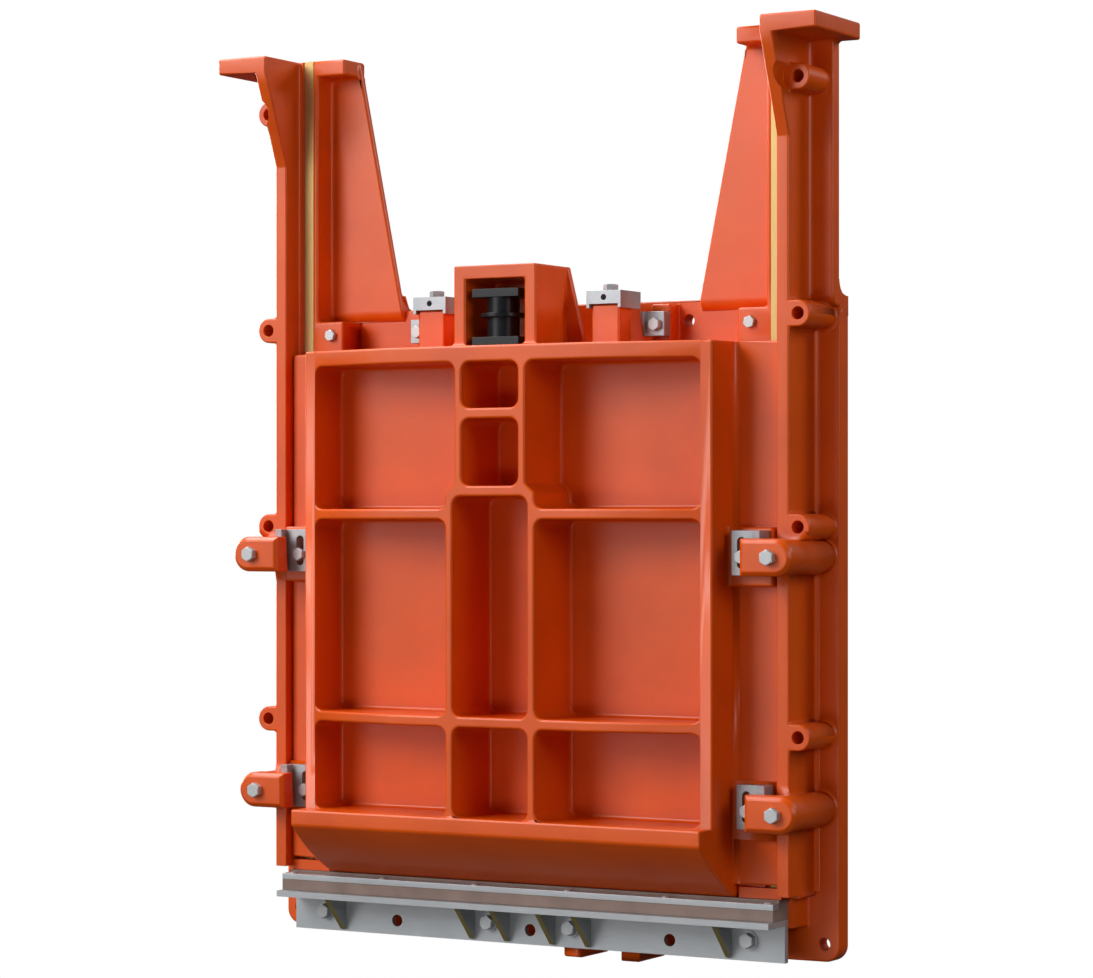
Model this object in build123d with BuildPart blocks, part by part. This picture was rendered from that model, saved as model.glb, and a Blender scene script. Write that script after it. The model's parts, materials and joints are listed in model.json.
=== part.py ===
import os
from build123d import *

# A wall-mounted sluice gate. X runs across the opening, Y into the wall (the wall face is
# Y = 0 and the front looks along -Y) and Z up. The origin is on the frame's back face, in the
# middle of the bottom member. A depth is a distance forward from the wall face.

# Opening and frame plate
opening_width = 914.0
opening_height = 914.0
side_margin = 127.0
bottom_margin = 115.0
top_margin = 139.0
plate_thickness = 36.0
plate_corner = 28.0
running_gap = 0.3

opening_half = opening_width / 2
frame_half = opening_half + side_margin
invert = bottom_margin / 2
frame_bottom = invert - bottom_margin
opening_top = invert + opening_height
frame_top = opening_top + top_margin

# Anchor holes
anchor_hole = 22.4
anchor_spacing = 286.6
top_hole_drop = 36.2
corner_hole_rise = 31.0
top_hole_level = frame_top - top_hole_drop
corner_hole_level = frame_bottom + corner_hole_rise

# Guides: a ledge that the leaf slides on, and an outer leg that stands in front of it
ledge_setback = 15.0
ledge_width = 41.3
leg_width = 24.7
ledge_depth = 98.0
leg_height = 45.0
guide_rise = 473.5
leg_foot_rise = 6.5
ledge_inner = opening_half + ledge_setback
leg_inner = ledge_inner + ledge_width
leg_outer = leg_inner + leg_width
leg_depth = ledge_depth + leg_height
leg_foot = invert + leg_foot_rise
guide_top = frame_top + guide_rise

# Wings that carry the guides above the frame
wing_drop = 20.0
wing_reach = 157.0
web_thickness = 13.5
flange_thickness = 26.0
foot_round = 20.0
foot_land = 1.5
wing_root = 28.0
wing_bottom = frame_top - wing_drop
wing_foot = ledge_inner - wing_reach
web_front = plate_thickness + web_thickness
flange_front = plate_thickness + flange_thickness

# Pads on top of the guides
pad_height = 30.0
pad_back = 30.0
pad_overhang = 68.0
inner_pad_reach = 60.2
outer_pad_reach = 37.7
gusset_height = 170.5
inner_pad_end = ledge_inner - inner_pad_reach
outer_pad_end = frame_half + outer_pad_reach
outer_pad_front = leg_depth + pad_overhang
pad_bottom = guide_top - pad_height
gusset_foot = pad_bottom - gusset_height

# Anchor ears on the guides
ear_reach = 16.2
ear_radius = 23.0
spotface_radius = 27.0
top_ear_drop = 100.7
low_ear_rises = (283.8, 647.3)
anchor_x = leg_outer + ear_reach
frame_ear_levels = [invert + rise for rise in low_ear_rises] + [top_hole_level]
top_ear_level = guide_top - top_ear_drop
ear_levels = frame_ear_levels + [top_ear_level]

# Seats: bronze strips on the ledges, across the frame's top and on the leaf
strip_setback = 9.0
strip_width = 20.3
strip_fit = 0.1
strip_groove = 5.0
strip_proud = 1.0
leaf_facing_thickness = 12.7
facing_drop = 4.0
top_seat_height = 50.0
top_facing_thickness = 4.7
facing_inset = 6.0
strip_inner = ledge_inner + strip_setback
strip_outer = strip_inner + strip_width
seat_depth = ledge_depth + strip_proud
leaf_back = seat_depth + running_gap + leaf_facing_thickness
top_seat_front = leaf_back - running_gap - top_facing_thickness
top_seat_top = opening_top + top_seat_height
seat_bar_half = ledge_inner - running_gap

# Joint pad of each guide above the top seat
joint_pad_width = 57.0

# Leaf
skin_thickness = 13.0
top_lap = 57.4
box_setback = 32.6
guide_gap = 2.8
flange_foot_rise = 24.0
rim_width = 23.0
rim_height = 87.0
rib_height = 129.5
rib_flat_half = 207.0
top_rim_height = 29.4
rib_thickness = 19.0
post_rib_thickness = 15.0
upper_post_x = 66.0
lower_post_x = 85.0
rib_ab_drop = 121.4
rib_bc_drop = 260.4
outer_rib_drop = 301.4
low_rib_rise = 298.0
jog_drop = 4.0
jog_height = 18.0
cell_corner = 17.0
jog_round = 8.0
side_cove = 11.0
lip_rise = 97.0
lip_thickness = 29.0
lip_height = 134.0
underside_bulge = 9.0
leaf_front = leaf_back + skin_thickness
leaf_top = opening_top + top_lap
leaf_bottom = invert + running_gap
leaf_half = opening_half - box_setback
rim_inner = leaf_half - rim_width
flange_half = leg_inner - guide_gap
flange_foot = invert + flange_foot_rise
rim_depth = leaf_front + rim_height
rib_depth = leaf_front + rib_height
rib_ab_level = leaf_top - rib_ab_drop
rib_bc_level = leaf_top - rib_bc_drop
outer_rib_level = leaf_top - outer_rib_drop
low_rib_level = invert + low_rib_rise
cell_top = leaf_top - top_rim_height
lip_bottom = invert + lip_rise
lip_top = lip_bottom + lip_thickness
lip_front = leaf_front + lip_height

# Wedge arms on the guides
arm_overhang = 33.8
arm_offset = 9.5
arm_radius = 32.5
arm_boss_radius = 31.0
arm_thickness = 33.0
arm_chamfer = 7.5
arm_taper = 5.5
upper_arm_rise = 595.5
lower_arm_rise = 154.0
upper_arm_height = 99.0
lower_arm_height = 80.4
arm_x = leg_outer + arm_offset
arm_inner = leg_inner - arm_overhang
arm_places = (("upper", invert + upper_arm_rise, leaf_front + upper_arm_height),
              ("lower", invert + lower_arm_rise, leaf_front + lower_arm_height))

# Side wedges and their pads on the leaf
wedge_stack = 39.1
wedge_plate_thickness = 21.5
wedge_plate_width = 48.7
wedge_nose_width = 14.3
wedge_gap = 8.3
wedge_height = 78.0
wedge_rise = 7.0
wedge_pad_height = 103.0
wedge_pad_gap = 0.1
slot_offset = 19.3
slot_width = 16.5
slot_length = 55.0
wedge_nose_outer = leg_inner - wedge_gap
wedge_nose_inner = wedge_nose_outer - wedge_nose_width
wedge_inner = wedge_nose_inner - wedge_plate_width
slot_x = wedge_inner + slot_offset

# Stem pocket on the leaf
pocket_half = 86.0
pocket_height = 143.6
pocket_roof = 24.0
pocket_wall = 25.0
pocket_depth = 110.5
pocket_back_wall = 18.0
pocket_web_reach = 36.0
stem_hole = 58.0
stem_offset = 78.3
pocket_top = leaf_top + pocket_height
pocket_mouth_top = pocket_top - pocket_roof
pocket_mouth_half = pocket_half - pocket_wall
pocket_front = leaf_front + pocket_depth
stem_depth = leaf_front + stem_offset

# Stem nut
nut_width = 96.0
nut_length = 60.0
nut_flange = 15.0
nut_height = 101.0
nut_barrel = 58.0
nut_collar = 81.0
nut_collar_height = 7.0
nut_bore = 44.0
nut_foot = leaf_top + running_gap

# Top wedge posts on the leaf and their caps
post_x = 182.3
post_width = 57.2
post_thickness = 31.3
post_height = 71.6
cap_side = 6.3
cap_overhang = 7.0
cap_length = 87.8
cap_thickness = 24.0
cap_leg = 7.0
cap_corner = 18.0
cap_screw_hole = 10.5
cap_screw_depth = 20.0
post_front = leaf_front + post_thickness
post_top = leaf_top + post_height
cap_front = post_front + cap_overhang
cap_back = cap_front - cap_length
cap_foot = post_top + running_gap
cap_half = post_width / 2 + cap_side
cap_slot_half = post_width / 2 + running_gap

# Top wedge seats on the frame
seat_boss_inner = 227.7
seat_boss_width = 39.3
seat_boss_height = 33.3
seat_boss_rise = 64.5
seat_boss_drop = 6.0
seat_block_overhang = 3.7
seat_block_thickness = 24.0
seat_block_rise = 9.2
seat_block_height = 43.8
seat_leg_width = 7.0
seat_leg_height = 11.7
seat_leg_taper = 10.0
seat_boss_outer = seat_boss_inner + seat_boss_width
seat_boss_bottom = opening_top + seat_boss_rise
seat_boss_top = frame_top - seat_boss_drop
seat_boss_front = plate_thickness + seat_boss_height
seat_block_inner = seat_boss_inner - seat_block_overhang
seat_block_bottom = seat_boss_bottom + seat_block_rise
seat_block_top = seat_block_bottom + seat_block_height
seat_block_front = seat_boss_front + seat_block_thickness

# Raised block, bosses and lugs under the opening
sill_block_height = 52.0
sill_block_thickness = 60.3
sill_overrun = 0.1
block_overhang = 7.6
boss_radius = 24.0
sill_bolt_drop = 76.0
sill_hole_drop = 85.5
inner_sill_bolt = 86.0
outer_sill_bolt_inset = 12.6
lug_width = 38.5
lug_x = (83.5, 200.8)
lug_drop = 15.5
lug_height = 60.0
sill_half = leg_inner + sill_overrun
block_half = sill_half + block_overhang
block_bottom = invert - sill_block_height
block_front = plate_thickness + sill_block_thickness
sill_bolt_level = invert - sill_bolt_drop
sill_hole_level = invert - sill_hole_drop
lug_bottom = frame_bottom - lug_drop

# Sill angle, rubber seal and retainer
angle_leg = 13.0
angle_rise = 3.0
shelf_drop = 36.0
shelf_thickness = 11.0
shelf_reach = 78.0
gusset_thickness = 10.0
inner_gussets = (48.0, 122.0)
outer_gusset_inset = 52.0
gusset_toe = 4.0
gusset_setback = 6.0
seal_reach = 59.4
seal_lift_reach = 34.7
seal_shoulder_drop = 16.0
retainer_thickness = 11.0
retainer_width = 23.0
angle_bottom = frame_bottom + angle_rise
leg_front = block_front + angle_leg
shelf_top = invert - shelf_drop
shelf_bottom = shelf_top - shelf_thickness
shelf_front = block_front + shelf_reach
seal_front = block_front + seal_reach
seal_shoulder = invert - seal_shoulder_drop

os.makedirs("parts", exist_ok=True)


def front_plane(depth):
    return Plane.XZ.offset(depth)


def write(piece, label):
    piece.label = label
    export_step(piece, f"parts/{label}.step")


def write_pair(piece, label):
    write(piece, f"right_{label}")
    write(mirror(piece, about=Plane.YZ), f"left_{label}")


def block(x0, x1, z0, z1, back, front, mode=Mode.ADD):
    with BuildSketch(front_plane(back)) as outline:
        with Locations(((x0 + x1) / 2, (z0 + z1) / 2)):
            Rectangle(abs(x1 - x0), abs(z1 - z0))
    extrude(outline.sketch, amount=front - back, mode=mode)


def round_bar(x, z, radius, back, front, mode=Mode.ADD):
    with BuildSketch(front_plane(back)) as outline:
        with Locations((x, z)):
            Circle(radius)
    extrude(outline.sketch, amount=front - back, mode=mode)


# concave fillet up the corner between a side face at x and a front face at the given depth
def root_cove(x, depth, side, radius, z0, z1):
    near = radius * (1 - 0.5 ** 0.5)
    with BuildSketch(Plane.XY.offset(z0)) as cove:
        with BuildLine():
            Line((x, -depth), (x + side * radius, -depth))
            ThreePointArc(
                (x + side * radius, -depth),
                (x + side * near, -depth - near),
                (x, -depth - radius),
            )
            Line((x, -depth - radius), (x, -depth))
        make_face()
    extrude(cove.sketch, amount=z1 - z0)


# rounds off the lower front edge of a wing, from its front face in to the depth named end
def round_foot(x0, x1, front, end):
    with BuildSketch(Plane.YZ.offset(x0)) as corner:
        with BuildLine():
            TangentArc(
                (-front, wing_bottom + foot_round), (-end, wing_bottom), tangent=(0, -1),
            )
            Line((-end, wing_bottom), (-front, wing_bottom))
            Line((-front, wing_bottom), (-front, wing_bottom + foot_round))
        make_face()
    extrude(corner.sketch, amount=x1 - x0, mode=Mode.SUBTRACT)


# Frame plate with its opening, seat bar, raised sill block, bosses and lugs
with BuildPart() as frame:
    with BuildSketch(front_plane(0)) as plate_outline:
        with Locations((0, (frame_bottom + frame_top) / 2)):
            Rectangle(2 * frame_half, frame_top - frame_bottom)
        fillet(plate_outline.vertices().group_by(Axis.Z)[0], plate_corner)
        with Locations((0, invert + opening_height / 2)):
            Rectangle(opening_width, opening_height, mode=Mode.SUBTRACT)
    extrude(amount=plate_thickness)
    block(-seat_bar_half, seat_bar_half, opening_top, top_seat_top, plate_thickness,
          top_seat_front)
    block(-block_half, block_half, block_bottom, invert, plate_thickness, block_front)
    outer_sill_bolt = opening_half - outer_sill_bolt_inset
    sill_bosses = [(sign * x, sill_bolt_level) for x in (inner_sill_bolt, outer_sill_bolt)
                   for sign in (-1, 1)]
    sill_bosses += [(x, sill_hole_level) for x in (-anchor_spacing, 0, anchor_spacing)]
    for x, level in sill_bosses:
        round_bar(x, level, boss_radius, plate_thickness, block_front)
        block(x - boss_radius, x + boss_radius, level, block_bottom, plate_thickness, block_front)
    for sign in (-1, 1):
        block(sign * seat_boss_inner, sign * seat_boss_outer, seat_boss_bottom, seat_boss_top,
              plate_thickness, seat_boss_front)
    for x in lug_x:
        block(x - lug_width / 2, x + lug_width / 2, lug_bottom, lug_bottom + lug_height,
              0, block_front)
    for x in (-anchor_spacing, 0, anchor_spacing):
        round_bar(x, sill_hole_level, anchor_hole / 2, 0, block_front, Mode.SUBTRACT)
    for sign in (-1, 1):
        round_bar(sign * anchor_spacing, top_hole_level, anchor_hole / 2, 0, plate_thickness,
                  Mode.SUBTRACT)
        for level in [corner_hole_level] + frame_ear_levels:
            round_bar(sign * anchor_x, level, anchor_hole / 2, 0, plate_thickness, Mode.SUBTRACT)
write(frame.part, "frame")


# Guides: the right one is drawn and the left one mirrored from it
with BuildPart() as right_guide:
    # outer leg and the gusset under its pad
    with BuildSketch(Plane.YZ.offset(leg_inner)):
        with BuildLine():
            Polyline(
                (-plate_thickness, leg_foot),
                (-leg_depth, leg_foot),
                (-leg_depth, gusset_foot),
                (-outer_pad_front, pad_bottom),
                (-plate_thickness, pad_bottom),
                close=True,
            )
        make_face()
    extrude(amount=leg_width)
    # web of the wing and its thick outer flange, down to where they lap the frame's top edge
    with BuildSketch(front_plane(plate_thickness)):
        with BuildLine():
            Polyline(
                (wing_foot, frame_top),
                (wing_foot, wing_bottom),
                (leg_inner, wing_bottom),
                (leg_inner, guide_top),
                (inner_pad_end, guide_top),
                close=True,
            )
        make_face()
    extrude(amount=web_thickness)
    block(leg_inner, frame_half, wing_bottom, guide_top, plate_thickness, flange_front)
    round_foot(wing_foot, leg_inner, web_front, plate_thickness + foot_land)
    round_foot(leg_outer, frame_half, flange_front, flange_front - foot_round)
    # cove between the back of the wing and the frame's top
    with BuildSketch(Plane.YZ.offset(wing_foot)):
        with BuildLine():
            Line((-plate_thickness, frame_top), (-plate_thickness, frame_top + wing_root))
            RadiusArc(
                (-plate_thickness, frame_top + wing_root),
                (-plate_thickness + wing_root, frame_top), wing_root,
            )
            Line((-plate_thickness + wing_root, frame_top), (-plate_thickness, frame_top))
        make_face()
    extrude(amount=frame_half - wing_foot)
    # ledge, top pads and the joint pad above the top seat
    block(ledge_inner, leg_outer, invert, guide_top, plate_thickness, ledge_depth)
    block(inner_pad_end, leg_inner, pad_bottom, guide_top, pad_back, ledge_depth)
    block(leg_inner, outer_pad_end, pad_bottom, guide_top, pad_back, outer_pad_front)
    block(ledge_inner - joint_pad_width, ledge_inner, top_seat_top + running_gap, wing_bottom,
          plate_thickness, ledge_depth)
    # anchor ears
    for level in ear_levels:
        round_bar(anchor_x, level, ear_radius, plate_thickness, leg_depth)
        block(leg_outer, anchor_x, level - ear_radius, level + ear_radius, plate_thickness,
              leg_depth)
    # wedge arm bosses
    for place, level, front in arm_places:
        round_bar(arm_x, level, arm_boss_radius, plate_thickness, front - arm_thickness)
    # cuts: seat strip groove, spotface in the gusset and anchor holes
    block(strip_inner, strip_outer, invert, guide_top, seat_depth - strip_groove, ledge_depth,
          Mode.SUBTRACT)
    round_bar(anchor_x, top_ear_level, spotface_radius, leg_depth, outer_pad_front, Mode.SUBTRACT)
    for level in ear_levels:
        round_bar(anchor_x, level, anchor_hole / 2, plate_thickness, leg_depth, Mode.SUBTRACT)
write_pair(right_guide.part, "guide")

# Bronze strips in the guide ledges and along the frame's top
with BuildPart() as guide_facing:
    block(strip_inner + strip_fit, strip_outer - strip_fit, invert, guide_top,
          seat_depth - strip_groove, seat_depth)
write_pair(guide_facing.part, "guide_facing")

with BuildPart() as top_seat_facing:
    block(-seat_bar_half, seat_bar_half, opening_top + facing_inset, top_seat_top - facing_inset,
          top_seat_front, leaf_back - running_gap)
write(top_seat_facing.part, "top_seat_facing")


# Wedge arm with a tapered seat on the back of its overhanging end
def wedge_arm(level, front):
    back = front - arm_thickness
    with BuildPart() as arm:
        with BuildSketch(front_plane(back)):
            with BuildLine():
                Line((arm_inner, level - arm_radius), (arm_x, level - arm_radius))
                ThreePointArc(
                    (arm_x, level - arm_radius), (arm_x + arm_radius, level),
                    (arm_x, level + arm_radius),
                )
                Line((arm_x, level + arm_radius), (arm_inner, level + arm_radius))
                Line((arm_inner, level + arm_radius), (arm_inner, level - arm_radius))
            make_face()
        extrude(amount=arm_thickness)
        chamfer(arm.faces().sort_by(Axis.Y)[0].edges(), arm_chamfer)
        with BuildSketch(Plane.YZ.offset(arm_inner)):
            with BuildLine():
                Polyline(
                    (-back, level + arm_radius),
                    (-back, level - arm_radius),
                    (-back + arm_taper, level - arm_radius),
                    close=True,
                )
            make_face()
        extrude(amount=arm_overhang)
    return arm.part


# Slotted wedge on the leaf, with a thick nose that bears on the back of the arm
def side_wedge(level, arm_back, pad_front):
    centre = level + wedge_rise
    bottom = centre - wedge_height / 2
    top = centre + wedge_height / 2
    slope = arm_taper / (2 * arm_radius)

    def seat_face(height):
        return arm_back - slope * (level + arm_radius - height) - running_gap

    with BuildPart() as wedge:
        block(wedge_inner, wedge_nose_inner, bottom, top, pad_front,
              pad_front + wedge_plate_thickness)
        with BuildSketch(Plane.YZ.offset(wedge_nose_inner)):
            with BuildLine():
                Polyline(
                    (-pad_front, bottom),
                    (-seat_face(bottom), bottom),
                    (-seat_face(top), top),
                    (-pad_front, top),
                    close=True,
                )
            make_face()
        extrude(amount=wedge_nose_width)
        with BuildSketch(front_plane(pad_front)):
            with Locations((slot_x, centre)):
                SlotOverall(slot_length, slot_width, rotation=90)
        extrude(amount=wedge_plate_thickness, mode=Mode.SUBTRACT)
    return wedge.part


for place, level, front in arm_places:
    arm_back = front - arm_thickness
    write_pair(wedge_arm(level, front), f"{place}_wedge_arm")
    write_pair(side_wedge(level, arm_back, arm_back - wedge_stack), f"{place}_wedge")

# Gate leaf
with BuildPart() as leaf:
    # lattice of rims and ribs, cut to the bowed front
    half_rib = rib_thickness / 2
    half_post_rib = post_rib_thickness / 2
    low_inner = lower_post_x - half_post_rib
    low_outer = lower_post_x + half_post_rib
    top_inner = upper_post_x - half_post_rib
    top_outer = upper_post_x + half_post_rib
    cells = [(-low_inner, low_inner, lip_top, low_rib_level - half_rib),
             (-low_inner, low_inner, low_rib_level + half_rib, rib_bc_level - half_rib),
             (-top_inner, top_inner, rib_bc_level + half_rib, rib_ab_level - half_rib),
             (-top_inner, top_inner, rib_ab_level + half_rib, cell_top)]
    for x0, x1 in ((-rim_inner, -low_outer), (low_outer, rim_inner)):
        cells += [(x0, x1, lip_top, low_rib_level - half_rib),
                  (x0, x1, low_rib_level + half_rib, outer_rib_level - half_rib)]
    with BuildSketch(front_plane(leaf_front)):
        with Locations((0, (lip_bottom + leaf_top) / 2)):
            Rectangle(2 * leaf_half, leaf_top - lip_bottom)
        for x0, x1, z0, z1 in cells:
            with Locations(((x0 + x1) / 2, (z0 + z1) / 2)):
                RectangleRounded(x1 - x0, z1 - z0, cell_corner, mode=Mode.SUBTRACT)
        # the upper outer cells step in where the middle rib ends
        for sign in (-1, 1):
            with BuildLine():
                FilletPolyline(
                    (sign * low_outer, outer_rib_level + half_rib),
                    (sign * low_outer, rib_bc_level - jog_drop),
                    (sign * top_outer, rib_bc_level - jog_drop + jog_height),
                    (sign * top_outer, cell_top),
                    (sign * rim_inner, cell_top),
                    (sign * rim_inner, outer_rib_level + half_rib),
                    radius=(cell_corner, jog_round, jog_round, cell_corner, cell_corner,
                            cell_corner),
                    close=True,
                )
            make_face(mode=Mode.SUBTRACT)
    extrude(amount=rib_depth - leaf_front)
    with BuildSketch(Plane.XY.offset(lip_bottom)):
        with BuildLine():
            Polyline(
                (-leaf_half, -leaf_front),
                (-leaf_half, -rim_depth),
                (-rim_inner, -rim_depth),
                (-rib_flat_half, -rib_depth),
                (rib_flat_half, -rib_depth),
                (rim_inner, -rim_depth),
                (leaf_half, -rim_depth),
                (leaf_half, -leaf_front),
                close=True,
            )
        make_face()
    extrude(amount=leaf_top - lip_bottom, mode=Mode.INTERSECT)
    # skin with its side flanges, and the coves beside the box
    block(-leaf_half, leaf_half, leaf_bottom, leaf_top, leaf_back, leaf_front)
    block(-flange_half, flange_half, flange_foot, leaf_top, leaf_back, leaf_front)
    for sign in (-1, 1):
        root_cove(sign * leaf_half, leaf_front, sign, side_cove, flange_foot, leaf_top)
    # bottom lip and its bowed underside
    with BuildSketch(Plane.YZ.offset(-leaf_half)):
        with BuildLine():
            Polyline(
                (-leaf_front, leaf_bottom),
                (-leaf_front, lip_top),
                (-lip_front, lip_top),
                (-lip_front, lip_bottom),
            )
            middle_y = -(lip_front + leaf_front) / 2
            middle_z = (lip_bottom + leaf_bottom) / 2 - underside_bulge
            ThreePointArc(
                (-lip_front, lip_bottom), (middle_y, middle_z), (-leaf_front, leaf_bottom),
            )
        make_face()
    extrude(amount=2 * leaf_half)
    # wedge pads on the side flanges
    for place, level, front in arm_places:
        pad_face = front - arm_thickness - wedge_stack - wedge_pad_gap
        for sign in (-1, 1):
            block(sign * leaf_half, sign * flange_half, level - wedge_pad_height / 2,
                  level + wedge_pad_height / 2, leaf_front, pad_face)
    # stem pocket with its side webs
    block(-pocket_half, pocket_half, leaf_top, pocket_top, leaf_back, pocket_front)
    with BuildSketch(front_plane(leaf_back)):
        with BuildLine():
            Polyline(
                (-pocket_half - pocket_web_reach, leaf_top),
                (pocket_half + pocket_web_reach, leaf_top),
                (pocket_half, pocket_top),
                (-pocket_half, pocket_top),
                close=True,
            )
        make_face()
    extrude(amount=skin_thickness)
    block(-pocket_mouth_half, pocket_mouth_half, leaf_top, pocket_mouth_top,
          leaf_back + pocket_back_wall, pocket_front, Mode.SUBTRACT)
    with BuildSketch(Plane.XY.offset(pocket_mouth_top)):
        with Locations((0, -stem_depth)):
            Circle(stem_hole / 2)
    extrude(amount=pocket_roof, mode=Mode.SUBTRACT)
    # top wedge posts
    for sign in (-1, 1):
        block(sign * post_x - post_width / 2, sign * post_x + post_width / 2, leaf_top, post_top,
              leaf_back, post_front)
    # groove for the bronze facing across the top
    block(-rim_inner, rim_inner, opening_top + facing_inset, top_seat_top - facing_inset,
          leaf_back, leaf_back + strip_groove, Mode.SUBTRACT)
write(leaf.part, "leaf")

with BuildPart() as leaf_facing:
    block(strip_inner, strip_outer, flange_foot, leaf_top - facing_drop,
          seat_depth + running_gap, leaf_back)
write_pair(leaf_facing.part, "leaf_facing")

with BuildPart() as top_leaf_facing:
    block(-rim_inner, rim_inner, opening_top + facing_inset, top_seat_top - facing_inset,
          leaf_back, leaf_back + strip_groove)
write(top_leaf_facing.part, "top_leaf_facing")

# Stem nut: a flange at each end of a collared barrel
with BuildPart() as stem_nut:
    for low in (nut_foot, nut_foot + nut_height - nut_flange):
        with BuildSketch(Plane.XY.offset(low)):
            with Locations((0, -stem_depth)):
                Rectangle(nut_width, nut_length)
        extrude(amount=nut_flange)
    with BuildSketch(Plane.XY.offset(nut_foot + nut_flange)):
        with Locations((0, -stem_depth)):
            Circle(nut_barrel / 2)
    extrude(amount=nut_height - 2 * nut_flange)
    with BuildSketch(Plane.XY.offset(nut_foot + nut_height / 2)):
        with Locations((0, -stem_depth)):
            Circle(nut_collar / 2)
    extrude(amount=nut_collar_height)
    with BuildSketch(Plane.XY.offset(nut_foot)):
        with Locations((0, -stem_depth)):
            Circle(nut_bore / 2)
    extrude(amount=nut_height, mode=Mode.SUBTRACT)
write(stem_nut.part, "stem_nut")

# Top wedge caps, rounded at the back, and the blocks on the frame beside them
for side, sign in (("left", -1), ("right", 1)):
    middle = sign * post_x
    with BuildPart() as cap:
        block(middle - cap_half, middle + cap_half, cap_foot - cap_leg, cap_foot + cap_thickness,
              cap_back, cap_front)
        fillet(cap.edges().filter_by(Axis.Z).group_by(Axis.Y)[-1], cap_corner)
        block(middle - cap_slot_half, middle + cap_slot_half, cap_foot - cap_leg, cap_foot,
              cap_back, cap_front, Mode.SUBTRACT)
        round_bar(middle, cap_foot + cap_thickness / 2, cap_screw_hole / 2,
                  cap_front - cap_screw_depth, cap_front, Mode.SUBTRACT)
    write(cap.part, f"{side}_top_wedge_cap")
    with BuildPart() as seat:
        x0 = sign * seat_block_inner
        block(x0, sign * seat_boss_outer, seat_block_bottom, seat_block_top, seat_boss_front,
              seat_block_front)
        leg_side = min(x0, x0 + sign * seat_leg_width)
        with BuildSketch(Plane.YZ.offset(leg_side)):
            with BuildLine():
                Polyline(
                    (-seat_boss_front, seat_block_bottom),
                    (-seat_block_front - seat_leg_height + seat_leg_taper, seat_block_bottom),
                    (-seat_block_front - seat_leg_height, seat_block_top),
                    (-seat_boss_front, seat_block_top),
                    close=True,
                )
            make_face()
        extrude(amount=seat_leg_width)
    write(seat.part, f"{side}_top_wedge_seat")

# Sill angle with its gussets
with BuildPart() as sill_angle:
    block(-sill_half, sill_half, angle_bottom, shelf_top, block_front, leg_front)
    block(-sill_half, sill_half, shelf_bottom, shelf_top, leg_front, shelf_front)
    for x in inner_gussets + (opening_half - outer_gusset_inset,):
        for sign in (-1, 1):
            with BuildSketch(Plane.YZ.offset(sign * x - gusset_thickness / 2)):
                with BuildLine():
                    Polyline(
                        (-leg_front, shelf_bottom),
                        (-(shelf_front - gusset_setback), shelf_bottom),
                        (-leg_front - gusset_toe, angle_bottom + gusset_toe),
                        (-leg_front, angle_bottom + gusset_toe),
                        close=True,
                    )
                make_face()
            extrude(amount=gusset_thickness)
    for x in (-anchor_spacing, 0, anchor_spacing):
        round_bar(x, sill_hole_level, anchor_hole / 2, block_front, leg_front, Mode.SUBTRACT)
write(sill_angle.part, "sill_angle")

# Rubber seal and its retainer bar
with BuildPart() as sill_seal:
    block(-sill_half, sill_half, shelf_top, seal_shoulder, block_front, seal_front)
    block(-sill_half, sill_half, seal_shoulder, invert, block_front,
          block_front + seal_lift_reach)
write(sill_seal.part, "sill_seal")

with BuildPart() as seal_retainer:
    block(-sill_half, sill_half, seal_shoulder, seal_shoulder + retainer_thickness,
          seal_front - retainer_width, seal_front)
write(seal_retainer.part, "seal_retainer")
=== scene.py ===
import bpy
import bmesh
import json
import math
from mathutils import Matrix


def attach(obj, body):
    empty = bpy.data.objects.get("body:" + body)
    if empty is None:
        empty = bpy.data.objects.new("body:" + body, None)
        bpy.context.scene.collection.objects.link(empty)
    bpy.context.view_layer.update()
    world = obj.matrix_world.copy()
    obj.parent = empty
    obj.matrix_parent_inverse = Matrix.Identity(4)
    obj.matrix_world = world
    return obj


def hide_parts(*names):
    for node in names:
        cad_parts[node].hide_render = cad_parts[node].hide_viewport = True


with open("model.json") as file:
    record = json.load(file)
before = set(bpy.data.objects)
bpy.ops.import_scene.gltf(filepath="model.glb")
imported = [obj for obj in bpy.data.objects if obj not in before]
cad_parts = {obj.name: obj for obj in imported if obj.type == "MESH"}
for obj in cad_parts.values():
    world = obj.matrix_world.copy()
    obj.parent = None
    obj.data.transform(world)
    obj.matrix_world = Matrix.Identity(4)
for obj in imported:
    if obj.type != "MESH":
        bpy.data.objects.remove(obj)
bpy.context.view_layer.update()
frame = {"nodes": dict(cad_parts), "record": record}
nodes = frame["nodes"]
fixedBody = "gate_frame"
movingBody = "gate_leaf"
mm = 0.001
weldDistance = 0.01 * mm
flatAngle = math.radians(0.5)  # faces that turn less than this are one flat face
bothSides = (-1, 1)
print("frame loaded:", len(nodes), "CAD nodes")


# helpers for modelling by hand, with places given as x, depth forward from the wall, z in mm

def deselectAll():
    for thing in bpy.context.selected_objects:
        thing.select_set(False)


def pickOnly(piece):
    deselectAll()
    piece.select_set(True)
    bpy.context.view_layer.objects.active = piece


def bevelEdges(piece, wanted, size, segments, profile):
    pickOnly(piece)
    bpy.ops.object.mode_set(mode="EDIT")
    bpy.ops.mesh.select_mode(type="EDGE")
    bpy.ops.mesh.select_all(action="DESELECT")
    bpy.ops.object.mode_set(mode="OBJECT")
    points = piece.data.vertices
    for edge in piece.data.edges:
        edge.select = wanted(points[edge.vertices[0]].co, points[edge.vertices[1]].co)
    bpy.ops.object.mode_set(mode="EDIT")
    bpy.ops.mesh.bevel(offset=size * mm, segments=segments, profile=profile, affect="EDGES")
    bpy.ops.object.mode_set(mode="OBJECT")


def settle(piece):
    pickOnly(piece)
    bpy.ops.object.transform_apply(location=True, rotation=True, scale=True)


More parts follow.
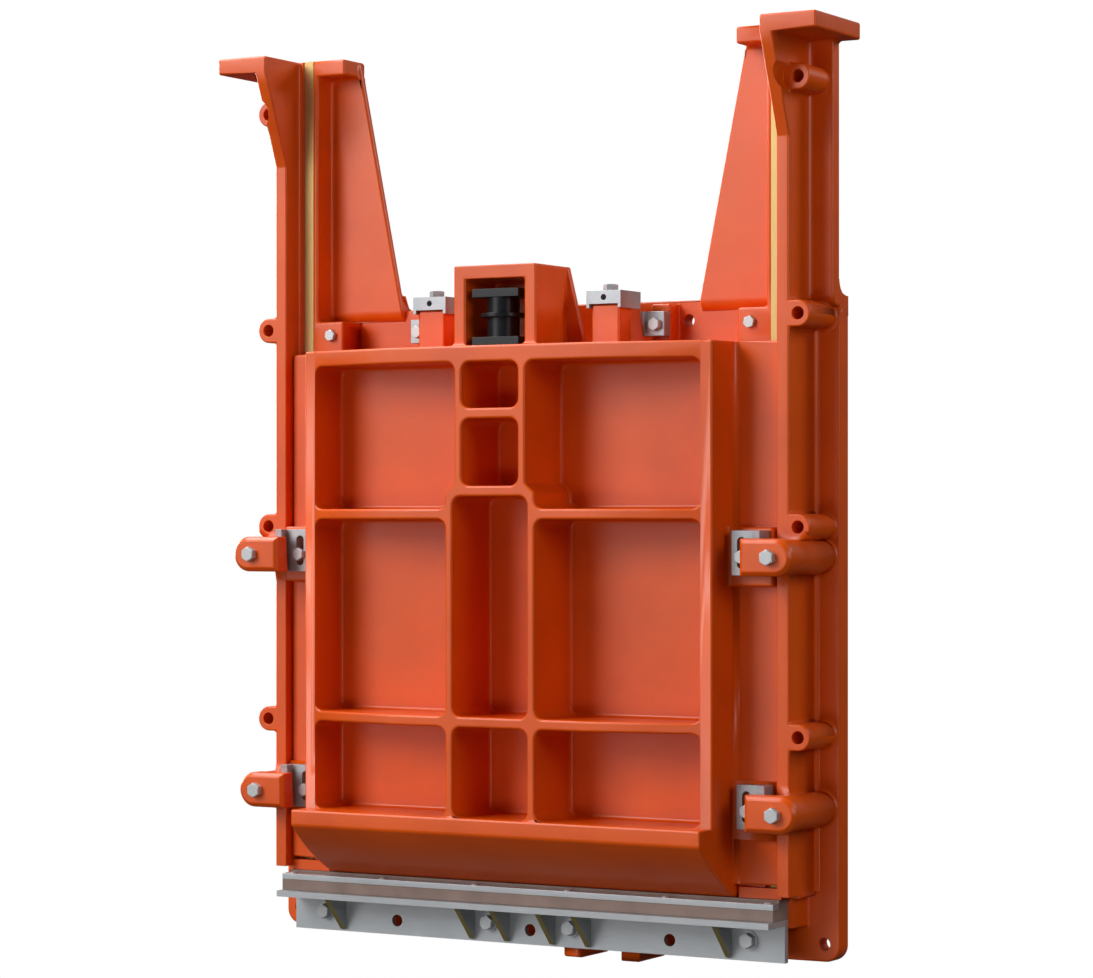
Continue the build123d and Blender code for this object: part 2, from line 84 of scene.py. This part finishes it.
def box(name, x0, x1, d0, d1, z0, z1):
    middle = ((x0 + x1) / 2 * mm, -(d0 + d1) / 2 * mm, (z0 + z1) / 2 * mm)
    deselectAll()
    bpy.ops.mesh.primitive_cube_add(size=1, location=middle)
    piece = bpy.context.active_object
    piece.name = name
    piece.scale = ((x1 - x0) * mm, (d1 - d0) * mm, (z1 - z0) * mm)
    settle(piece)
    return piece


def disc(name, radius, d0, d1, sides=48):
    deselectAll()
    bpy.ops.mesh.primitive_cylinder_add(
        vertices=sides, radius=radius * mm, depth=(d1 - d0) * mm,
        location=(0, -(d0 + d1) / 2 * mm, 0), rotation=(math.radians(90), 0, 0))
    piece = bpy.context.active_object
    piece.name = name
    settle(piece)
    return piece


def joinParts(parts):
    deselectAll()
    for part in parts:
        part.select_set(True)
    bpy.context.view_layer.objects.active = parts[0]
    bpy.ops.object.join()
    return bpy.context.active_object


def finishPiece(parts, name, body, material):
    whole = joinParts(parts)
    whole.name = name
    settle(whole)
    whole.data.materials.clear()
    whole.data.materials.append(material)
    bpy.ops.object.shade_smooth_by_angle(angle=math.radians(32))
    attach(whole, body)


def mirrored(places):
    return [(side * x, depth, z, turn) for side in bothSides for x, depth, z, turn in places]


def placeCopies(pattern, places):
    twins = []
    for x, depth, z, turn in places:
        twin = bpy.data.objects.new(pattern.name, pattern.data.copy())
        twin.location = (x * mm, -depth * mm, z * mm)
        twin.rotation_euler = (0, math.radians(turn), 0)
        bpy.context.scene.collection.objects.link(twin)
        twins.append(twin)
    bpy.data.objects.remove(pattern)
    return twins


# materials

def newMaterial(name):
    material = bpy.data.materials.new(name)
    material.use_nodes = True
    tree = material.node_tree
    shader = tree.nodes["Principled BSDF"]
    where = tree.nodes.new("ShaderNodeTexCoord")
    return material, tree, shader, where.outputs["Object"]


def noise(tree, place, scale, detail, stretch=(1, 1, 1)):
    mapping = tree.nodes.new("ShaderNodeMapping")
    mapping.inputs["Scale"].default_value = stretch
    tree.links.new(place, mapping.inputs["Vector"])
    cloud = tree.nodes.new("ShaderNodeTexNoise")
    cloud.inputs["Scale"].default_value = scale
    cloud.inputs["Detail"].default_value = detail
    tree.links.new(mapping.outputs["Vector"], cloud.inputs["Vector"])
    return cloud.outputs["Fac"]


def ramp(tree, value, stops):
    node = tree.nodes.new("ShaderNodeValToRGB")
    band = node.color_ramp
    while len(band.elements) < len(stops):
        band.elements.new(0.5)
    for element, (place, colour) in zip(band.elements, stops):
        element.position = place
        element.color = (*colour, 1)
    tree.links.new(value, node.inputs["Fac"])
    return node.outputs["Color"]


def spread(tree, value, low, high):
    node = tree.nodes.new("ShaderNodeMapRange")
    node.inputs["To Min"].default_value = low
    node.inputs["To Max"].default_value = high
    tree.links.new(value, node.inputs["Value"])
    return node.outputs["Result"]


def bump(tree, height, strength, distance, after=None):
    node = tree.nodes.new("ShaderNodeBump")
    node.inputs["Strength"].default_value = strength
    node.inputs["Distance"].default_value = distance * mm
    tree.links.new(height, node.inputs["Height"])
    if after is not None:
        tree.links.new(after, node.inputs["Normal"])
    return node.outputs["Normal"]


def wire(tree, shader, colour, roughness, normal):
    tree.links.new(colour, shader.inputs["Base Color"])
    tree.links.new(roughness, shader.inputs["Roughness"])
    tree.links.new(normal, shader.inputs["Normal"])


def paintedCastIron():
    look = {
        "deep": (0.69, 0.080, 0.0008),
        "main": (0.76, 0.092, 0.0010),
        "pale": (0.81, 0.102, 0.0014),
        "roughness": (0.28, 0.38),
        "specular": 0.42,
        "drift": 7,  # size of the paint's pale and deep patches, as a noise scale
        "patches": 28,
        "swell": 14,
        "sand": 420,
    }
    material, tree, shader, place = newMaterial("orangeCastIronPaint")
    drift = noise(tree, place, look["drift"], 4)
    colour = ramp(tree, drift, [(0.3, look["deep"]), (0.5, look["main"]), (0.75, look["pale"])])
    patches = noise(tree, place, look["patches"], 3)
    swell = bump(tree, noise(tree, place, look["swell"], 2), 0.35, 2.2)
    sandSkin = bump(tree, noise(tree, place, look["sand"], 2), 0.25, 0.15, swell)
    wire(tree, shader, colour, spread(tree, patches, *look["roughness"]), sandSkin)
    shader.inputs["Specular IOR Level"].default_value = look["specular"]
    return material


def machinedBronze():
    look = {
        "dark": (0.44, 0.29, 0.100),
        "light": (0.56, 0.39, 0.160),
        "metallic": 0.6,
        "roughness": (0.36, 0.5),
        "streaks": 60,
        "stretch": (14, 14, 0.25),  # the cutter ran along the strips
    }
    material, tree, shader, place = newMaterial("machinedBronze")
    streaks = noise(tree, place, look["streaks"], 3, look["stretch"])
    colour = ramp(tree, streaks, [(0.3, look["dark"]), (0.7, look["light"])])
    wire(tree, shader, colour, spread(tree, streaks, *look["roughness"]),
         bump(tree, streaks, 0.15, 0.1))
    shader.inputs["Metallic"].default_value = look["metallic"]
    return material


steels = {
    "wedgeSteel": {"dark": (0.30, 0.32, 0.34), "light": (0.42, 0.44, 0.46), "metallic": 0.5,
                   "stretch": (1, 1, 9)},
    # sillSteel holds a painted reflection: a khaki tint on its downward faces stands in for the
    # reflected ground
    "sillSteel": {"dark": (0.42, 0.44, 0.46), "light": (0.50, 0.52, 0.54), "metallic": 0.4,
                  "stretch": (0.3, 6, 6), "paintedGroundReflection": (0.34, 0.27, 0.09)},
    "boltSteel": {"dark": (0.44, 0.45, 0.46), "light": (0.54, 0.55, 0.56), "metallic": 0.4,
                  "stretch": (3, 3, 3)},
}


def satinSteel(name):
    look = {"grain": 90, "drift": 9, "roughness": (0.32, 0.46), **steels[name]}
    material, tree, shader, place = newMaterial(name)
    grain = noise(tree, place, look["grain"], 4, look["stretch"])
    drift = noise(tree, place, look["drift"], 3)
    half = tree.nodes.new("ShaderNodeMath")
    half.operation = "MULTIPLY"
    half.inputs[1].default_value = 0.5
    tree.links.new(drift, half.inputs[0])
    mix = tree.nodes.new("ShaderNodeMath")
    mix.operation = "MULTIPLY_ADD"
    mix.inputs[1].default_value = 0.5
    tree.links.new(grain, mix.inputs[0])
    tree.links.new(half.outputs["Value"], mix.inputs[2])
    colour = ramp(tree, mix.outputs["Value"], [(0.35, look["dark"]), (0.65, look["light"])])
    if "paintedGroundReflection" in look:
        # painted reflection: faces whose normal looks down get a khaki tint that stands in for
        # the ground reflected in them
        facing = tree.nodes.new("ShaderNodeNewGeometry")
        parts = tree.nodes.new("ShaderNodeSeparateXYZ")
        tree.links.new(facing.outputs["Normal"], parts.inputs["Vector"])
        paintedReflectionMask = tree.nodes.new("ShaderNodeMapRange")
        paintedReflectionMask.inputs["From Min"].default_value = -0.12
        paintedReflectionMask.inputs["From Max"].default_value = -0.35
        tree.links.new(parts.outputs["Z"], paintedReflectionMask.inputs["Value"])
        blend = tree.nodes.new("ShaderNodeMix")
        blend.data_type = "RGBA"
        blend.inputs["B"].default_value = (*look["paintedGroundReflection"], 1)
        tree.links.new(paintedReflectionMask.outputs["Result"], blend.inputs["Factor"])
        tree.links.new(colour, blend.inputs["A"])
        colour = blend.outputs["Result"]
    wire(tree, shader, colour, spread(tree, grain, *look["roughness"]),
         bump(tree, grain, 0.12, 0.08))
    shader.inputs["Metallic"].default_value = look["metallic"]
    return material


def mattRubber():
    look = {
        "dark": (0.220, 0.150, 0.125),
        "light": (0.290, 0.205, 0.175),
        "roughness": (0.55, 0.7),
        "drift": 18,
        "skin": 500,
    }
    material, tree, shader, place = newMaterial("brownRubber")
    drift = noise(tree, place, look["drift"], 4)
    colour = ramp(tree, drift, [(0.3, look["dark"]), (0.7, look["light"])])
    wire(tree, shader, colour, spread(tree, drift, *look["roughness"]),
         bump(tree, noise(tree, place, look["skin"], 2), 0.2, 0.1))
    return material


def blackenedNut():
    look = {
        "dark": (0.004, 0.005, 0.006),
        "light": (0.010, 0.012, 0.014),
        "roughness": (0.3, 0.42),
        "specular": 0.3,
        "drift": 40,
        "skin": 300,
    }
    material, tree, shader, place = newMaterial("blackenedNut")
    drift = noise(tree, place, look["drift"], 3)
    colour = ramp(tree, drift, [(0.3, look["dark"]), (0.7, look["light"])])
    wire(tree, shader, colour, spread(tree, drift, *look["roughness"]),
         bump(tree, noise(tree, place, look["skin"], 2), 0.15, 0.1))
    shader.inputs["Specular IOR Level"].default_value = look["specular"]
    return material


paint = paintedCastIron()
boltSteel = satinSteel("boltSteel")
slotMaterials = {
    "casting_paint": paint,
    "bronze": machinedBronze(),
    "wedge_steel": satinSteel("wedgeSteel"),
    "stainless": satinSteel("sillSteel"),
    "seal_rubber": mattRubber(),
    "black_bronze": blackenedNut(),
}
for row in frame["record"]["subparts"]:
    node = nodes[row["node"]]
    node.data.materials.clear()
    node.data.materials.append(slotMaterials[row["material_slot"]])
print("materials given to the CAD nodes")


# castings: merged copies whose sharp edges get a foundry rounding. "cutX" and "cutZ" split the
# big faces before it. "tight" lists boxes of |x|, depth and z in mm with their own share of the
# rounding for outer and for hollow edges, and the last box that fits an edge wins

castRounding = {
    "width": 4.5,
    "headroom": 1.6,  # the widest share of the width that an edge may ask for
    "segments": 3,
    "sharpAngle": 27,
    "holeRadius": 11.2,
    "holeSlack": 0.6,
    "holeShare": 0.25,
}
leafRounding = {
    "hollow": 1.4,
    "tight": [
        ((0, 600), (100, 112.5), (0, 1100), 0.4, 0.4),  # back
        ((0, 402), (111, 118), (976, 1017), 0, 0),  # seat of the top facing
        ((418, 440), (124, 141), (80, 1030), 0.1, 0),  # foot of the sides
        ((440, 511), (124, 126), (100, 800), 0.5, 0.4),  # front of the side flanges
        ((418, 511), (124, 134), (155, 268), 0, 0),  # lower wedge pads
        ((0, 430), (205, 262), (182, 186), 0.85, 0),  # upper line of the lip
        ((85, 123), (111, 126), (1028, 1173), 0.5, 0.2),  # webs beside the pocket
        ((0, 40), (170, 234), (1140, 1180), 0, 0),  # hole for the stem
        ((0, 62), (230, 236), (1140, 1180), 0.45, 0.4),  # front of the pocket's roof
    ],
}
guideRounding = {
    "hollow": 1.4,
    "cutZ": (120, 170, 211.5, 260, 341.3, 450, 600, 653, 704.8, 800, 950, 1045, 1074.3, 1115,
             1180, 1280, 1380, 1440, 1483.3, 1530),
    "tight": [
        ((480, 502), (90, 99), (50, 1590), 0, 0),  # groove of the bronze strip
        ((509, 517), (140, 146), (50, 1590), 0.65, 0.5),  # inner front edge of the leg
        ((300, 625), (0, 37), (50, 1091), 0, 0),  # against the plate
        ((300, 625), (0, 37), (1091, 1555), 0.7, 0.4),  # back of the wing
        ((300, 590), (0, 37), (1088, 1140), 0.2, 0.1),  # back foot of the wing
        ((300, 472), (35, 40), (1085, 1093), 0, 0),  # front foot of the wing
        ((400, 625), (0, 37), (1545, 1562), 0.45, 0.4),  # back of the top pad
        ((509, 540), (90, 146), (50, 66.5), 0.35, 0.35),  # foot of the leg
        ((542, 578), (140, 145), (300, 1510), 0.7, 0.3),  # front of the ears
        ((520, 580), (60, 64), (1455, 1512), 0.5, 0.5),  # root of the top ear
        ((515, 580), (142, 200), (172, 250), 0.2, 0),  # lower arm boss
        ((515, 580), (142, 200), (615, 690), 0.2, 0),  # upper arm boss
        ((530, 580), (30, 146), (672, 698), 0, 0),  # between the upper boss and its ear
        ((523, 545), (142, 200), (1450, 1515), 0.25, 0.2),  # gusset beside the top ear
    ],
}
frameRounding = {
    "hollow": 1.2,
    "cutX": (-554.2, -490, -444.4, -286.6, -150, -86, 0, 86, 150, 286.6, 444.4, 490, 554.2),
    "cutZ": (-45, 30, 200, 341.3, 500, 704.8, 900, 995, 1074.3),
    "tight": [
        ((0, 600), (0, 1), (-80, 1120), 0.5, 0.3),  # wall face
        ((0, 530), (95, 97), (-80, 60), 0, 0),  # front of the sill block
        ((0, 200), (95, 97), (-80, -56), 0.8, 0),  # front of the lugs
        ((0, 530), (36, 97), (-60, 7), 0.2, 0),  # sill block's bosses and ends
        ((0, 530), (35, 37), (-60, 7), 0.5, 0.6),  # root of the sill block
        ((60, 112), (35, 97), (-60, -12), 0, 0),  # inner bosses against the lug
        ((0, 600), (35, 37), (1015, 1040), 0.6, 0.5),  # root of the top seat bar
        ((0, 600), (35, 37), (1100, 1112), 0.7, 0.1),  # top edge of the plate
        ((555, 600), (-1, 37), (1074, 1112), 0, 0),  # top corners of the plate
        ((0, 600), (106, 108), (965, 1030), 0.8, 0.3),  # front of the top seat bar
    ],
}


def tidyCopy(name, label, rounding):
    piece = bpy.data.objects.new(label, nodes[name].data.copy())
    bpy.context.scene.collection.objects.link(piece)
    cuts = [((x * mm, 0, 0), (1, 0, 0)) for x in rounding.get("cutX", ())]
    cuts += [((0, 0, z * mm), (0, 0, 1)) for z in rounding.get("cutZ", ())]
    pickOnly(piece)
    bpy.ops.object.mode_set(mode="EDIT")
    bpy.ops.mesh.select_all(action="SELECT")
    bpy.ops.mesh.remove_doubles(threshold=weldDistance)
    bpy.ops.mesh.dissolve_limited(angle_limit=flatAngle)
    for place, direction in cuts:
        bpy.ops.mesh.select_all(action="SELECT")
        bpy.ops.mesh.bisect(plane_co=place, plane_no=direction)
    bpy.ops.object.mode_set(mode="OBJECT")
    return piece


def hollowFoot(piece):
    # the wing's back foot flares down to the plate in a hollow arc
    foot = {"lowDepth": 8, "radius": 28, "top": 1138.5, "bottom": 1110.5, "slack": 0.05}
    highDepth = foot["lowDepth"] + foot["radius"]
    for point in piece.data.vertices:
        depth, z = -point.co.y / mm, point.co.z / mm
        if depth < highDepth + foot["slack"] and foot["bottom"] - foot["slack"] < z < foot["top"]:
            drop = min(foot["top"] - z, foot["radius"])
            reach = math.sqrt(foot["radius"] ** 2 - drop ** 2)
            point.co.y = -(foot["lowDepth"] + reach) * mm


def smoothFaces(piece):
    normals = piece.modifiers.new("normals", "WEIGHTED_NORMAL")
    normals.keep_sharp = False
    for face in piece.data.polygons:
        face.use_smooth = True


def nearHole(edge):
    radius, slack = castRounding["holeRadius"], castRounding["holeSlack"]
    spots = [(abs(vert.co.x) / mm, vert.co.z / mm) for vert in edge.verts]
    return any(all(abs(math.hypot(x - hx, z - hz) - radius) < slack for x, z in spots)
               for hx, hz in anchorHoles)


def roundEdges(piece, rounding):
    work = bmesh.new()
    work.from_mesh(piece.data)
    weights = work.edges.layers.float.new("bevel_weight_edge")
    sharpAngle = math.radians(castRounding["sharpAngle"])
    for edge in work.edges:
        if len(edge.link_faces) != 2 or edge.calc_face_angle() < sharpAngle:
            continue
        middle = (edge.verts[0].co + edge.verts[1].co) / 2
        spot = (abs(middle.x) / mm, -middle.y / mm, middle.z / mm)
        outer, hollow = 1.0, rounding["hollow"]
        for xs, depths, levels, tightOuter, tightHollow in rounding["tight"]:
            sides = zip(spot, (xs, depths, levels))
            if all(low <= value <= high for value, (low, high) in sides):
                outer, hollow = tightOuter, tightHollow
        if nearHole(edge):
            outer = hollow = castRounding["holeShare"]
        edge[weights] = (outer if edge.is_convex else hollow) / castRounding["headroom"]
    work.to_mesh(piece.data)
    work.free()
    soft = piece.modifiers.new("castEdges", "BEVEL")
    soft.limit_method = "WEIGHT"
    soft.width = castRounding["width"] * castRounding["headroom"] * mm
    soft.segments = castRounding["segments"]
    soft.use_clamp_overlap = False
    soft.loop_slide = False
    smoothFaces(piece)


anchorHoles = [(554.2, z) for z in (-26.5, 341.3, 704.8, 1074.3, 1483.3)]
anchorHoles += [(286.6, 1074.3), (286.6, -28), (0, -28)]
castings = [
    ("leaf", "gateLeafCasting", leafRounding, movingBody),
    ("left_guide", "leftGuideCasting", guideRounding, fixedBody),
    ("right_guide", "rightGuideCasting", guideRounding, fixedBody),
    ("frame", "wallFrameCasting", frameRounding, fixedBody),
]
for name, label, rounding, body in castings:
    casting = tidyCopy(name, label, rounding)
    if rounding is guideRounding:
        hollowFoot(casting)
    roundEdges(casting, rounding)
    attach(casting, body)
    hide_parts(name)
print("castings rounded")


# small machined nodes keep their own mesh under a fine edge break, with its width in mm

edgeBreaks = {
    "wedge_arm": 2.0, "_wedge": 1.0, "wedge_cap": 1.6, "wedge_seat": 0.8, "sill_angle": 1.0,
    "sill_seal": 1.0, "seal_retainer": 0.8, "facing": 0.5, "stem_nut": 0.8,
}


def breakEdges(node, width):
    weld = node.modifiers.new("weld", "WELD")
    weld.merge_threshold = weldDistance
    flat = node.modifiers.new("flat", "DECIMATE")
    flat.decimate_type = "DISSOLVE"
    flat.angle_limit = flatAngle
    soft = node.modifiers.new("edgeBreak", "BEVEL")
    soft.width = width * mm
    soft.segments = 2
    soft.limit_method = "ANGLE"
    soft.angle_limit = math.radians(30)
    smoothFaces(node)


for name in nodes:
    for ending, width in edgeBreaks.items():
        if name.endswith(ending):
            breakEdges(nodes[name], width)
            break
print("edges of the small pieces broken")


# roots: concave strips and flares where legs, ears and bosses stand on the plate, and blocks
# that fill the corners of the castings

roots = {
    "legX": 538,
    "stripRadius": 8,
    "strips": ((36, 66, 1089), (62, 1112, 1552)),  # depth of the face, bottom and top
    "plateFront": 36,
    "earX": 554.2,
    "earLevels": (341.3, 704.8, 1074.3),
    "earRadius": 23,
    "earFlare": 6,
    "bossX": 547.5,
    "bossLevels": (211.5, 653),
    "bossRadius": 31,
    "bossFlare": 5,
    "land": 0.15,  # thickness left at the thin ends of a root
    "profile": 0.13,
    "wall": 4,
}
cornerBlocks = {
    "sillEndBlock": ((430, 512), (30, 121), (57.6, 76)),
    "squareCorner": ((556, 583.9), (0.1, 35.9), (1086.5, 1110.4)),
    "sillEndRise": ((404, 474), (70, 106), (50, 92)),
}


def rootStrip(side, depth, bottom, top):
    radius = roots["stripRadius"]
    near = side * (roots["legX"] - 1)
    far = side * (roots["legX"] + radius)
    strip = box("rootStrip", *sorted((near, far)), depth - 1, depth + radius, bottom, top)

    def outerEdge(a, b):
        upright = abs(a.z - b.z) > 5 * mm
        return upright and abs(a.x - far * mm) < 0.1 * mm and -a.y > (depth + radius / 2) * mm

    bevelEdges(strip, outerEdge, radius - roots["land"], 6, roots["profile"])
    return strip


def rootFlare(name, radius, reach):
    flare = disc(name, radius + reach, -0.5, reach)

    def frontRim(a, b):
        return min(-a.y, -b.y) > reach / 2 * mm

    bevelEdges(flare, frontRim, reach - roots["land"], 5, roots["profile"])
    hole = disc("holeCutter", radius - roots["wall"], -5, reach + 5)
    cut = flare.modifiers.new("hole", "BOOLEAN")
    cut.operation = "DIFFERENCE"
    cut.object = hole
    pickOnly(flare)
    bpy.ops.object.modifier_apply(modifier="hole")
    bpy.data.objects.remove(hole)
    return flare


def addRoots():
    parts = [rootStrip(side, *strip) for side in bothSides for strip in roots["strips"]]
    for kind in ("ear", "boss"):
        pattern = rootFlare(kind + "Flare", roots[kind + "Radius"], roots[kind + "Flare"])
        places = [(roots[kind + "X"], roots["plateFront"], z, 0) for z in roots[kind + "Levels"]]
        parts += placeCopies(pattern, mirrored(places))
    for side in bothSides:
        for name, (xs, depths, levels) in cornerBlocks.items():
            parts.append(box(name, *sorted(side * x for x in xs), *depths, *levels))
    finishPiece(parts, "castingRoots", fixedBody, paint)


addRoots()
print("roots and flares added")


# fasteners, with places as x, depth, z in mm and a turn in degrees

hexLook = {
    "edge": 1.5,
    "flatShare": 0.866,  # half the width across flats over half the width across corners
    "faceShare": 0.93,
    "faceRise": 0.35,
    "washerThickness": 2.6,
}
bolts = {
    "armBolts": {"corners": 28.5, "height": 12, "body": fixedBody,
                 "places": [(538.5, 224, 653, 0), (538.5, 205.4, 211.5, 0)]},
    "wedgeBolts": {"corners": 24.3, "height": 8.4, "body": movingBody,
                   "places": [(462, 173.4, 653, 0), (462, 154.8, 211.5, 0)]},
    "guidePadBolts": {"corners": 22.8, "height": 8.4, "body": fixedBody,
                      "places": [(440.8, 98, 1064.5, 12)]},
    "topSeatBolts": {"corners": 24, "height": 9.7, "body": fixedBody,
                     "places": [(250, 93.3, 1066, 0)]},
    "sillBolts": {"corners": 28, "height": 15.7, "body": fixedBody, "washer": 17.5,
                  "places": [(86, 109.3, -18.5, 8), (444.4, 109.3, -18.5, 0)]},
}


def hexHead(name, corners, height, washer=0):
    head = disc(name, corners / 2, 0, height, 6)

    def frontEdges(a, b):
        return min(-a.y, -b.y) > height * 0.9 * mm

    bevelEdges(head, frontEdges, hexLook["edge"], 2, 0.6)
    faceRadius = corners / 2 * hexLook["flatShare"] * hexLook["faceShare"]
    parts = [head, disc(name, faceRadius, height - 1, height + hexLook["faceRise"], 36)]
    if washer:
        parts.append(disc(name, washer, 0, hexLook["washerThickness"], 40))
    return joinParts(parts)


def addBolts():
    for name, bolt in bolts.items():
        pattern = hexHead(name, bolt["corners"], bolt["height"], bolt.get("washer", 0))
        copies = placeCopies(pattern, mirrored(bolt["places"]))
        finishPiece(copies, name, bolt["body"], boltSteel)


def capBolts():
    look = {"x": 182.4, "depth": 136.4, "foot": 1124.8, "height": 11.7, "corners": 27}
    head = hexHead("capBolt", look["corners"], look["height"])
    head.rotation_euler = (math.radians(-90), 0, 0)  # it stands on the cap, so it points up
    settle(head)
    copies = placeCopies(head, mirrored([(look["x"], look["depth"], look["foot"], 0)]))
    finishPiece(copies, "capBolts", movingBody, boltSteel)


def retainerScrews():
    look = {"radius": 8.0, "height": 3.2, "depth": 144.2, "foot": 52.5,
            "places": (-494.7, -295.4, -96, 99.1, 298, 498.1)}
    deselectAll()
    bpy.ops.mesh.primitive_uv_sphere_add(segments=24, ring_count=12, radius=look["radius"] * mm,
                                         location=(0, 0, 0))
    head = bpy.context.active_object
    head.scale = (1, 1, look["height"] / look["radius"])
    settle(head)
    copies = placeCopies(head, [(x, look["depth"], look["foot"], 0) for x in look["places"]])
    finishPiece(copies, "retainerScrews", fixedBody, boltSteel)


addBolts()
capBolts()
retainerScrews()
print("fasteners added")


# camera, lights and floor

def addCamera():
    shot = {
        "place": (3.0616, -5.3293, 0.7225),
        "turn": 30.111,
        "lens": 109.745,
        "rise": 0.02554,
    }
    data = bpy.data.cameras.new("photoCamera")
    data.sensor_width = 36
    data.lens = shot["lens"]
    data.shift_y = shot["rise"]
    data.clip_end = 100
    camera = bpy.data.objects.new("photoCamera", data)
    camera.location = shot["place"]
    camera.rotation_euler = (math.radians(90), 0, math.radians(shot["turn"]))
    bpy.context.scene.collection.objects.link(camera)
    bpy.context.scene.camera = camera


# soft lights: place and target in m, width and height in m, power in W
gateMiddle = (0, -0.1, 0.75)
softboxes = {
    "keySoftbox": ((-4.9, -7.4, 5.0), gateMiddle, (4.6, 4.0), 520),
    "frontSoftbox": ((-4.7, -8.3, 1.5), gateMiddle, (5.2, 4.2), 130),
    "sideSoftbox": ((4.4, -1.6, 2.0), gateMiddle, (1.6, 1.6), 38),
    "topSoftbox": ((-2.4, -0.6, 4.9), gateMiddle, (2.4, 2.4), 230),
    "lowSoftbox": ((0.6, -4.8, -0.4), gateMiddle, (2.6, 0.8), 26),
    "leftSoftbox": ((-5.0, 2.6, 1.8), gateMiddle, (2.0, 3.0), 130),
    "rimSoftbox": ((3.6, 3.0, 3.4), (0.4, 0, 1.4), (1.6, 1.6), 70),
}


def addLight(name, place, target, size, power):
    bpy.ops.object.light_add(type="AREA", location=place)
    lamp = bpy.context.active_object
    lamp.name = name
    lamp.data.shape = "RECTANGLE"
    lamp.data.size, lamp.data.size_y = size
    lamp.data.energy = power
    aim = [t - p for t, p in zip(target, place)]
    flat = math.hypot(aim[0], aim[1])
    lamp.rotation_euler = (math.atan2(flat, -aim[2]), 0, math.atan2(aim[1], aim[0]) - math.pi / 2)


def whiteForCamera(tree, kind, lit, target):
    # plain white where the camera looks, and the lit surface for all other rays
    white = tree.nodes.new(kind)
    white.inputs["Color"].default_value = (1, 1, 1, 1)
    white.inputs["Strength"].default_value = 1.0
    path = tree.nodes.new("ShaderNodeLightPath")
    choose = tree.nodes.new("ShaderNodeMixShader")
    tree.links.new(path.outputs["Is Camera Ray"], choose.inputs["Fac"])
    tree.links.new(lit, choose.inputs[1])
    tree.links.new(white.outputs[0], choose.inputs[2])
    tree.links.new(choose.outputs["Shader"], target)


def addWorld():
    world = bpy.data.worlds.new("studioWorld")
    world.use_nodes = True
    tree = world.node_tree
    back = tree.nodes["Background"]
    back.inputs["Color"].default_value = (1, 1, 1, 1)
    back.inputs["Strength"].default_value = 0.09
    whiteForCamera(tree, "ShaderNodeBackground", back.outputs["Background"],
                   tree.nodes["World Output"].inputs["Surface"])
    bpy.context.scene.world = world


def addFloor():
    look = {"level": -0.9, "size": 60, "shade": (0.03, 0.03, 0.03, 1), "roughness": 0.9}
    deselectAll()
    bpy.ops.mesh.primitive_plane_add(size=look["size"], location=(0, 0, look["level"]))
    floor = bpy.context.active_object
    floor.name = "studioFloor"
    material, tree, shader, place = newMaterial("paleFloor")
    shader.inputs["Base Color"].default_value = look["shade"]
    shader.inputs["Roughness"].default_value = look["roughness"]
    whiteForCamera(tree, "ShaderNodeEmission", shader.outputs["BSDF"],
                   tree.nodes["Material Output"].inputs["Surface"])
    floor.data.materials.append(material)


addCamera()
for name, softbox in softboxes.items():
    addLight(name, *softbox)
addWorld()
addFloor()
bpy.context.scene.view_settings.view_transform = "Standard"
bpy.context.scene.view_settings.look = "None"
print("camera, lights and floor set")
